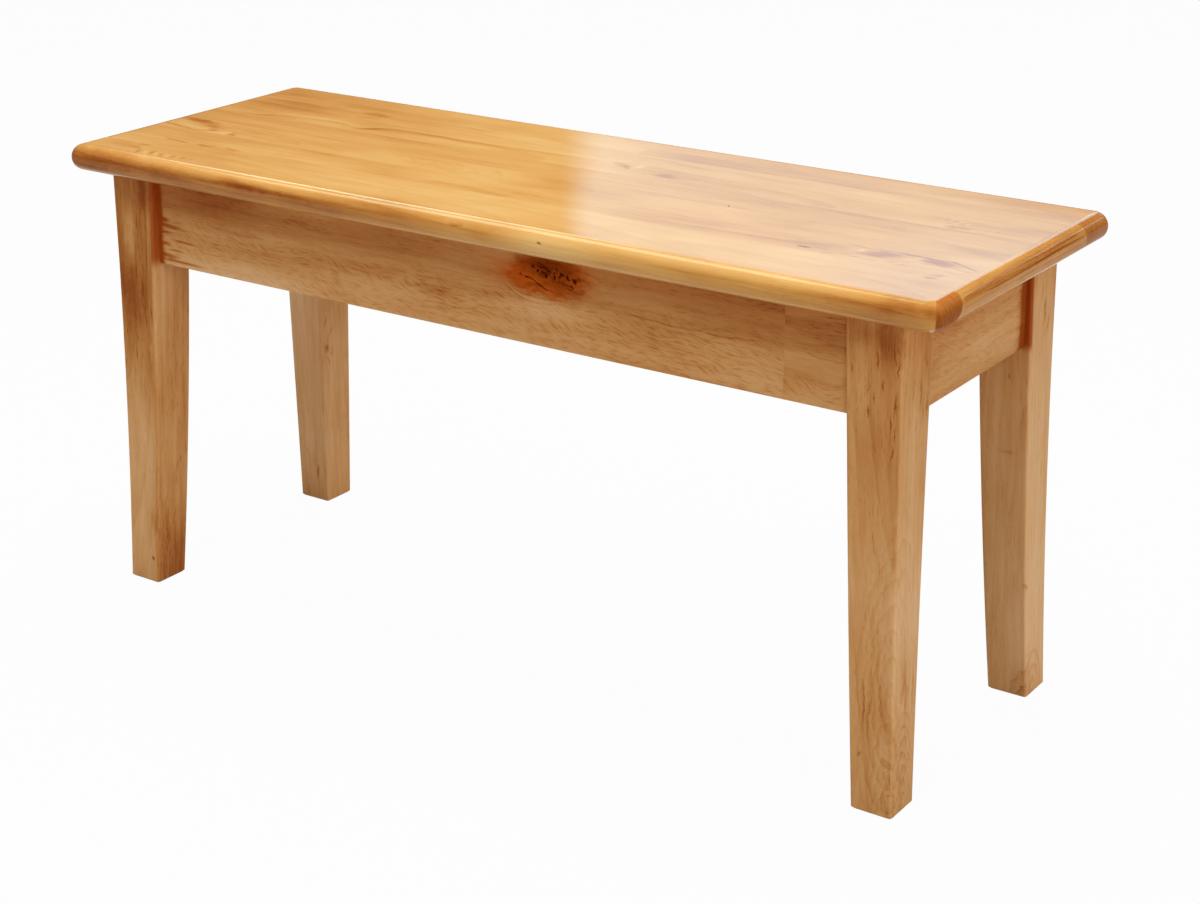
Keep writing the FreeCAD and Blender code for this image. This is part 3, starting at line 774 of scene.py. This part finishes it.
def leg_rear_left():
    """Left leg at the rear: warm tan with a small reddish swirl on its right face."""
    leg = Leg("rear_left", -1, 1, 29.5)
    leg.knot(leg.face_place("right", 186, 0.16), (6, 5, 9), dark=0.20, red=0.32, core=0.25, flow=0.006)
    for k, (z, share) in enumerate(((216, 0.10), (206, 0.34), (198, 0.22), (180, 0.34), (172, 0.20))):
        leg.stroke("right", z, share, 8, 2.2, tilt=25 - 12 * k, dark=0.26, red=0.26)
    leg.strokes((
        ("front", 34, 0.66, 14, 2.6, 10, 0.36, 0.25), ("front", 90, 0.34, 60, 6, 0, -0.14),
    ))
    # Tone along the faces; the darkening towards the top is partly the wood and partly painted shade under
    # the seat.
    front = [(0, 0.48), (60, 0.28), (140, 0.30), (230, 0.24), (330, 0.34), (432, 0.56)]
    right = [(0, 0.48), (60, 0.38), (140, 0.38), (230, 0.38), (330, 0.46), (432, 0.60)]
    leg.finish_leg(front, right)


def inside_corner(board, at, reach, sign, axis=0):
    """1 at a glued corner between an apron and a leg, fading along the apron: lacquer gathers there as a
    red-brown stain, and a wide dark band there is painted shade.
    """
    along = board.xyz[axis] * sign + board.ripple
    return board.ease(along, at - reach, at, 0.0, 1.0)


def front_knot(front):
    """Rust-brown knot: an almond with a pale lower rim, a dark top, black specks and one dark crack."""
    z = front.xyz[2]
    lens = front.spot((86, 408), (64, 25), 0, 0.5, deep=18)
    almond = front.spot((82, 405), (46, 19.5), 0, 0.5, deep=18)
    front.add(lens, rust=0.60, flow=0.012)
    front.add(almond, rust=0.36)
    front.add(front.spot((44, 407), (46, 20), 0, 0.1), rust=0.42)
    front.add(front.spot((63, 419), (27, 13), 0, 0.1), core=0.30)
    lines = front.noise(front.vector("MULTIPLY", front.rough_place, (55.0, 60.0, 360.0)), 2.0, 0.55)
    front.add(front.ease(lines, 0.48, 0.66) * lens, core=0.34)
    front.add(front.ease(lines, 0.34, 0.48, 1.0, 0.0) * lens, rust=-0.30)
    front.add(front.spot((92, 418), (42, 22), 4, 0.10), core=0.64)
    front.add(front.spot((92, 420), (52, 26), 4, 0.2), rust=0.70)
    front.add(front.spot((104, 400), (25, 12), 6, 0.1, deep=10), core=0.28)
    specks = front.noise(front.vector("MULTIPLY", front.place, (420.0, 100.0, 330.0)), 2.0, 0.6)
    near = front.spot((98, 411), (36, 9), 4, 0.3, deep=12)
    front.add(front.ease(specks, 0.56, 0.64) * near, core=0.45)
    front.add(front.ease(specks, 0.36, 0.44, 1.0, 0.0) * near, core=-0.30)
    dots = (
        (56.5, 407, 1.6, 1.1, 10), (63, 405.2, 3.2, 1.3, 8), (84, 409, 1.9, 3.2, 12),
        (86.5, 414, 3.0, 1.6, 10), (93, 409, 1.5, 3.4, -12), (100.5, 413, 3.4, 1.7, 22),
        (106.3, 411, 1.7, 3.2, -25), (114, 408.5, 1.8, 3.6, -12), (75, 412.5, 1.5, 2.4, 22),
        (70, 415.5, 2.2, 1.5, 0), (111, 403.5, 3.4, 1.0, 35),
    )
    for px, pz, wide, tall, tilt in dots:
        front.add(front.spot((px, pz), (wide, tall), tilt, 0.3, deep=6, wander=False), core=0.9)
    crack = [(63, 405.3), (66.5, 405), (71.8, 402.6), (75.8, 400.4), (81, 398), (86, 395.5)]
    front.vein(crack, 0.9, 1.2, core=1.0, fade=3, across=z, waver=0.1)
    rim = [(36, 406), (40, 399), (45, 393.5), (54, 388.8), (65, 386.2), (78, 385.4), (94, 387)]
    front.vein(rim, 1.2, 1.4, dark=-0.15, fade=7, across=z, waver=0.4)
    shade = [(p, level - 2.2) for p, level in rim]
    front.vein(shade, 0.8, 1.0, dark=0.12, red=0.10, fade=7, across=z, waver=0.3)
    inner = [(44, 399), (48, 393.5), (57, 390.2), (68, 388.6), (80, 388.2), (100, 390)]
    front.vein(inner, 0.7, 0.9, core=0.3, fade=7, across=z, waver=0.3)
    tail = [(112, 419), (126, 418.5), (138, 415.5), (146, 409)]
    front.vein(tail, 1.0, 1.6, dark=0.10, red=0.30, fade=8, across=z, waver=0.5)
    tail = [(116, 411), (128, 411), (140, 407)]
    front.vein(tail, 0.8, 1.4, dark=0.10, red=0.25, fade=8, across=z, waver=0.5)
    front.streak((84, APRON_FACE, 379), (76, 10, 14), (0, -2, 0), dark=-0.34)


def front_stain(front):
    """Lacquer gathered at the left end, with thin fingers drawn out along the grain."""
    x, z = front.xyz[0], front.xyz[2]
    edge = front.ease(x + front.ripple * 1.5, -0.380, -0.3735, 1.0, 0.0)
    front.add(edge * front.ease(z, 0.372, 0.400, 0.6, 1.0), red=0.85, dark=0.34)
    front.add(front.ease(x, -0.3800, -0.3772, 1.0, 0.0), dark=0.35)
    fingers = (
        (-368, 384, 28, 3.4, 4), (-375, 390, 11, 4.0, 2), (-374, 377.5, 13, 2.2, -2),
        (-348, 370, 26, 1.4, 3), (-374, 366, 10, 2.6, 3), (-354, 349.5, 46, 2.4, 1.5),
        (-371, 354, 20, 3.6, 3), (-360, 360, 15, 1.3, 2),
    )
    for px, pz, wide, tall, tilt in fingers:
        front.add(front.spot((px, pz), (wide, tall), tilt, deep=6, wander=False), dark=0.36, red=0.65)


def front_apron():
    """Front apron: the long piece with its rust-brown knot, and the short piece beyond the finger joint."""
    front = Wood("apron_front_long_wood", FRAME_TONES, pith=(-0.20, 0.30), lean=0.02, ring=0.009, seed=37.2)
    z = front.xyz[2]
    # Painted shade: darker and a little redder towards the top, under the seat's overhang.
    front.add(front.ease(z, APRON_LOW, APRON_HIGH), dark=0.28, red=0.03)
    front.streak((-330, APRON_FACE, 412), (130, 10, 30), (0, 2, 0), dark=0.18, red=0.12)
    front.streak((-290, APRON_FACE, 348), (150, 10, 26), dark=-0.28)
    front.streak((180, APRON_FACE, 372), (340, 10, 60), dark=0.09, wander=False)
    front.vein([(-325, 394), (-290, 391), (-240, 389)], 3, 3, dark=0.12, across=z)
    front.streak((-200, APRON_FACE, 413), (22, 8, 3.0), dark=0.14, red=0.20)
    front.streak((-38, APRON_FACE, 374), (34, 8, 9), (0, -4, 0), dark=0.12, red=0.14)
    front.vein([(-75, 373), (-55, 378), (-30, 381)], 2, 3, dark=0.14, across=z)
    front.vein([(-60, 357), (-20, 362), (10, 369), (30, 377)], 2, 2, dark=0.12, across=z)
    line = [(148, 392), (190, 389), (231, 387.5), (265, 388), (312, 392)]
    front.vein(line, 0.9, 1.6, dark=0.18, fade=30, across=z)
    front_knot(front)
    front_stain(front)
    curly = front.ease(z + front.ripple * 3.0, 0.372, 0.408, 1.0, 0.15)
    tone, pore = front.figure(0.06, 0.45, 0.35, 0.14, flecks=0.08, curl=0.20, curl_mask=curly)
    coat = front.math("MAXIMUM", FRAME_COAT - (front.core + front.rust) * FRAME_COAT, 0.0)
    dress(front.lacquer(front.colour(tone, 0.44), pore, coat, FRAME_COAT_ROUGHNESS), "apron_front_long")

    short = Wood("apron_front_short_wood", FRAME_TONES, pith=(0.25, 0.30), lean=0.02, ring=0.008, seed=41.3)
    z = short.xyz[2]
    # Painted shade: darker towards the top, under the seat's overhang.
    short.add(short.ease(z, APRON_LOW, APRON_HIGH), dark=0.22, red=0.03)
    short.vein([(340, 388), (360, 386), (380, 387)], 0.8, 1.4, dark=0.18, fade=6, across=z)
    short.vein([(345, 402), (365, 400), (380, 398)], 0.8, 1.4, dark=0.14, fade=6, across=z)
    short.add(inside_corner(short, 0.381, 0.008, 1.0), red=0.25, dark=0.15)
    curly = short.ease(z, 0.358, 0.378, 1.0, 0.2)
    tone, pore = short.figure(0.08, 0.5, 0.35, 0.18, flecks=0.12, curl=0.18, curl_mask=curly)
    shader = short.lacquer(short.colour(tone, 0.50), pore, FRAME_COAT, FRAME_COAT_ROUGHNESS)
    dress(shader, "apron_front_short")


def other_aprons():
    """Rear and end aprons: plain boards, darker under the seat from painted shade, and darker beside the legs
    where lacquer gathers and painted shade lies in the corners.
    """
    settings = {
        "rear": ("x", 43.7, 0.40, 0, 0.379),
        "left": ("y", 47.1, 0.40, 1, 0.0925),
        "right": ("y", 53.3, 0.50, 1, 0.0925),
    }
    for name, (grain, seed, level, axis, end) in settings.items():
        pith = (0.25, 0.30) if grain == "x" else (0.55, 0.32)
        wood = Wood("apron_" + name + "_wood", FRAME_TONES, grain, pith, 0.02, 0.008, seed)
        z = wood.xyz[2]
        # Painted shade: darker and a little redder towards the top, under the seat.
        wood.add(wood.ease(z, APRON_LOW + 20.0 * MM, APRON_HIGH), dark=0.20, red=0.06)
        # The wide dark band at the leg's corner is painted shade; the narrow redder ones are lacquer gathered
        # in the corners.
        wood.add(inside_corner(wood, end - 3 * MM, 16 * MM, 1.0, axis), red=0.12, dark=0.34)
        wood.add(inside_corner(wood, end - 5 * MM, 5 * MM, 1.0, axis), red=0.35, dark=0.20)
        wood.add(inside_corner(wood, end, 7 * MM, -1.0, axis), red=0.25, dark=0.20)
        tone, pore = wood.figure(0.08, 0.5, 0.35, 0.16, flecks=0.12, curl=0.12)
        colour = wood.colour(tone, level)
        dress(wood.lacquer(colour, pore, FRAME_COAT, FRAME_COAT_ROUGHNESS), "apron_" + name)


def hidden_wood():
    """Braces and batten: planed wood without lacquer."""
    names = ["corner_brace_" + corner for corner in ("front_left", "front_right", "rear_left", "rear_right")]
    wood = Wood("hidden_wood", BARE_TONES, grain="y", pith=(0.2, 0.3), lean=0.03, ring=0.006, seed=61.0)
    tone, pore = wood.figure(rings=0.35, streaks=0.8, blotch=0.3, pores=0.3)
    dress(wood.lacquer(wood.colour(tone, 0.3), pore, coat=0.0), "cross_batten", *names)


def screw_steel():
    """Zinc-plated screws with fine turning marks."""
    material = new_material("screw_steel")
    finish = Finish(material.node_tree)
    place = finish.node("ShaderNodeTexCoord", out="Object")
    fleck = finish.noise(finish.scaled(place, 1800.0), 3.0, 0.6)
    colour = finish.mix(fleck, (0.50, 0.50, 0.50), (0.72, 0.72, 0.70))
    sockets = {"Base Color": colour, "Metallic": 1.0, "Roughness": 0.25 + fleck * 0.2}
    shader = finish.node("ShaderNodeBsdfPrincipled", None, sockets)
    finish.node("ShaderNodeOutputMaterial", None, {"Surface": shader})
    dress(material, "brace_screws", "seat_screws")


def make_camera():
    """Camera at the photo's place, with the optical axis off the frame's middle by the photo's own shift."""
    ahead = Vector((-math.sin(CAMERA_TURN) * math.cos(CAMERA_DIP),
                    math.cos(CAMERA_TURN) * math.cos(CAMERA_DIP),
                    -math.sin(CAMERA_DIP)))
    level = Vector((math.cos(CAMERA_TURN), math.sin(CAMERA_TURN), 0.0))
    upright = level.cross(ahead)
    right = level * math.cos(CAMERA_ROLL) + upright * math.sin(CAMERA_ROLL)
    up = upright * math.cos(CAMERA_ROLL) - level * math.sin(CAMERA_ROLL)
    data = bpy.data.cameras.new("photo_camera")
    data.sensor_fit = "HORIZONTAL"
    data.sensor_width = SENSOR_WIDTH
    data.lens = FOCAL_PIXELS / PHOTO_WIDTH * SENSOR_WIDTH
    data.shift_x = (PHOTO_WIDTH / 2 - AXIS_PIXEL[0]) / PHOTO_WIDTH
    data.shift_y = (AXIS_PIXEL[1] - PHOTO_HEIGHT / 2) / PHOTO_WIDTH
    camera = bpy.data.objects.new("photo_camera", data)
    turn = Matrix((right, up, -ahead)).transposed().to_4x4()
    camera.matrix_world = Matrix.Translation(CAMERA_PLACE) @ turn
    bpy.context.scene.collection.objects.link(camera)
    bpy.context.scene.camera = camera


def make_floor():
    """Pale floor: a white that keeps a faint shadow where it is looked at or mirrored.

    It is a flat square: x and y are its two parameters, from -FLOOR_HALF to FLOOR_HALF, and z is FLOOR_Z.
    """
    x, y = np.meshgrid((-FLOOR_HALF, FLOOR_HALF), (-FLOOR_HALF, FLOOR_HALF))
    places = np.stack((x, y, np.full_like(x, FLOOR_Z)), axis=-1).reshape(-1, 3)
    mesh = bpy.data.meshes.new("studio_floor")
    mesh.from_pydata(places.tolist(), [], [(0, 1, 3, 2)])
    material = new_material("studio_floor")
    finish = Finish(material.node_tree)
    rays = finish.node("ShaderNodeLightPath").socket.node.outputs
    seen = [Wire(finish, rays[name]) for name in ("Is Camera Ray", "Is Glossy Ray", "Is Transmission Ray")]
    share = finish.math("MAXIMUM", finish.math("MAXIMUM", seen[0], seen[1]), seen[2]) * 0.97
    paper = finish.node("ShaderNodeBsdfDiffuse", None, {"Color": (0.60, 0.60, 0.60, 1.0)})
    white = finish.node("ShaderNodeEmission", None, {"Color": (1.0, 1.0, 1.0, 1.0), "Strength": 1.0})
    shader = finish.node("ShaderNodeMixShader", None, {0: share, 1: paper, 2: white})
    finish.node("ShaderNodeOutputMaterial", None, {"Surface": shader})
    mesh.materials.append(material)
    floor = bpy.data.objects.new("studio_floor", mesh)
    bpy.context.scene.collection.objects.link(floor)


def make_world():
    """White behind the bench, an even glow for soft light, and what the lacquer mirrors.

    Bearings are in degrees, clockwise from straight back, and rises are heights over level distances.
    The seat's flat mirrors a bright wall, brightest towards the seat's right front corner. Its front
    round mirrors two windows further left, as two thin lines.
    """
    world = bpy.data.worlds.new("studio_world")
    bpy.context.scene.world = world
    world.use_nodes = True
    finish = Finish(world.node_tree)
    x, y, z = finish.split(finish.node("ShaderNodeTexCoord", out="Generated"))
    bearing = finish.math("ARCTAN2", x, y) * math.degrees(1.0)
    level = finish.math("SQRT", x * x + y * y)
    rise = z / finish.math("MAXIMUM", level, 0.001)
    left_edge = finish.ease(bearing, -35.75, finish.ease(rise, 0.245, 0.270, -34.35, -34.85))
    right_edge = finish.ease(bearing, 30.0, 60.0, 1.0, 0.0)
    lower = (bearing + 35.0) * 0.0029 + 0.228
    low_edge = finish.ease(rise - lower, -0.008, 0.008)
    upper = finish.math("MAXIMUM", (bearing + 36.0) * -0.018 + 0.90, 0.42)
    top_edge = finish.ease(rise - upper, -0.05, 0.05, 1.0, 0.0)
    wall = left_edge * right_edge * low_edge * top_edge
    low_window = finish.ease(rise, 0.29, 0.32) * finish.ease(rise, 0.60, 0.70, 1.0, 0.0)
    low_window = low_window * finish.ease(bearing, -51.0, -46.2)
    low_window = low_window * finish.ease(bearing, -37.0, -35.6, 1.0, 0.0)
    low_window = low_window * finish.ease(bearing, -45.0, -41.0, 1.0, 0.75)
    sill = finish.math("MAXIMUM", (bearing + 69.0) * -0.0085, 0.0) + 0.90
    high_window = finish.ease(rise - sill, -0.03, 0.18) * finish.ease(rise, 1.70, 2.00, 1.0, 0.0)
    high_window = high_window * finish.ease(bearing, -92.0, -86.0)
    high_window = high_window * finish.ease(bearing, -60.0, -40.0, 1.0, 0.0)
    windows = low_window * 2.8 + high_window * 3.4
    brighter = finish.ease(bearing, -33.0, -25.0) * finish.ease(rise, 0.268, 0.305)
    mirrored = wall * (brighter * 0.70 + 1.12) + windows + 0.05
    tint = finish.mix(windows, (0.46, 0.80, 1.0), (0.50, 0.95, 0.82))
    rays = finish.node("ShaderNodeLightPath").socket.node.outputs
    seen = [Wire(finish, rays[name]) for name in ("Is Camera Ray", "Is Transmission Ray")]
    seen = finish.math("MAXIMUM", seen[0], seen[1])
    glossy = Wire(finish, rays["Is Glossy Ray"])
    glow = finish.node("ShaderNodeBackground", None, {"Color": (1.0, 0.99, 0.97, 1.0), "Strength": 0.30})
    bright = finish.node("ShaderNodeBackground", None, {"Color": tint, "Strength": mirrored})
    white = finish.node("ShaderNodeBackground", None, {"Color": (1.0, 1.0, 1.0, 1.0), "Strength": 0.988})
    shader = finish.node("ShaderNodeMixShader", None, {0: glossy, 1: glow, 2: bright})
    shader = finish.node("ShaderNodeMixShader", None, {0: seen, 1: shader, 2: white})
    finish.node("ShaderNodeOutputWorld", None, {"Surface": shader})


def softbox(name, place, target, size, watts):
    """Rectangular lamp that looks at a point and is not itself mirrored."""
    data = bpy.data.lights.new(name, "AREA")
    data.shape = "RECTANGLE"
    data.size, data.size_y = size
    data.energy = watts
    lamp = bpy.data.objects.new(name, data)
    way = (Vector(target) - Vector(place)).to_track_quat("-Z", "Y")
    lamp.matrix_world = Matrix.Translation(Vector(place)) @ way.to_matrix().to_4x4()
    lamp.visible_glossy = False
    bpy.context.scene.collection.objects.link(lamp)


def make_lamps():
    """Soft light from above, from the right and from the front: name, place, height aimed at, size, watts."""
    lamps = (
        ("overhead_softbox", (-0.45, 0.75, 2.2), 0.40, (1.2, 1.5), 19.1),
        ("right_fill", (12.0, -1.2, 2.65), 0.25, (4.8, 4.0), 330.0),
        ("top_fill", (0.10, -0.1, 2.6), 0.40, (1.2, 0.8), 18.7),
        ("front_fill", (0.3, -1.6, 2.9), 0.35, (1.4, 1.0), 17.0),
        ("low_fill", (0.9, -3.0, 1.0), 0.25, (1.4, 1.0), 8.4),
    )
    for name, place, height, size, watts in lamps:
        softbox(name, place, (0.0, 0.0, height), size, watts)


seat_front()
seat_rear()
seat_core()
seat_lippings()
leg_front_right()
leg_front_left()
leg_rear_right()
leg_rear_left()
front_apron()
other_aprons()
hidden_wood()
screw_steel()
make_camera()
make_floor()
make_world()
make_lamps()
bpy.context.scene.view_settings.view_transform = "Standard"
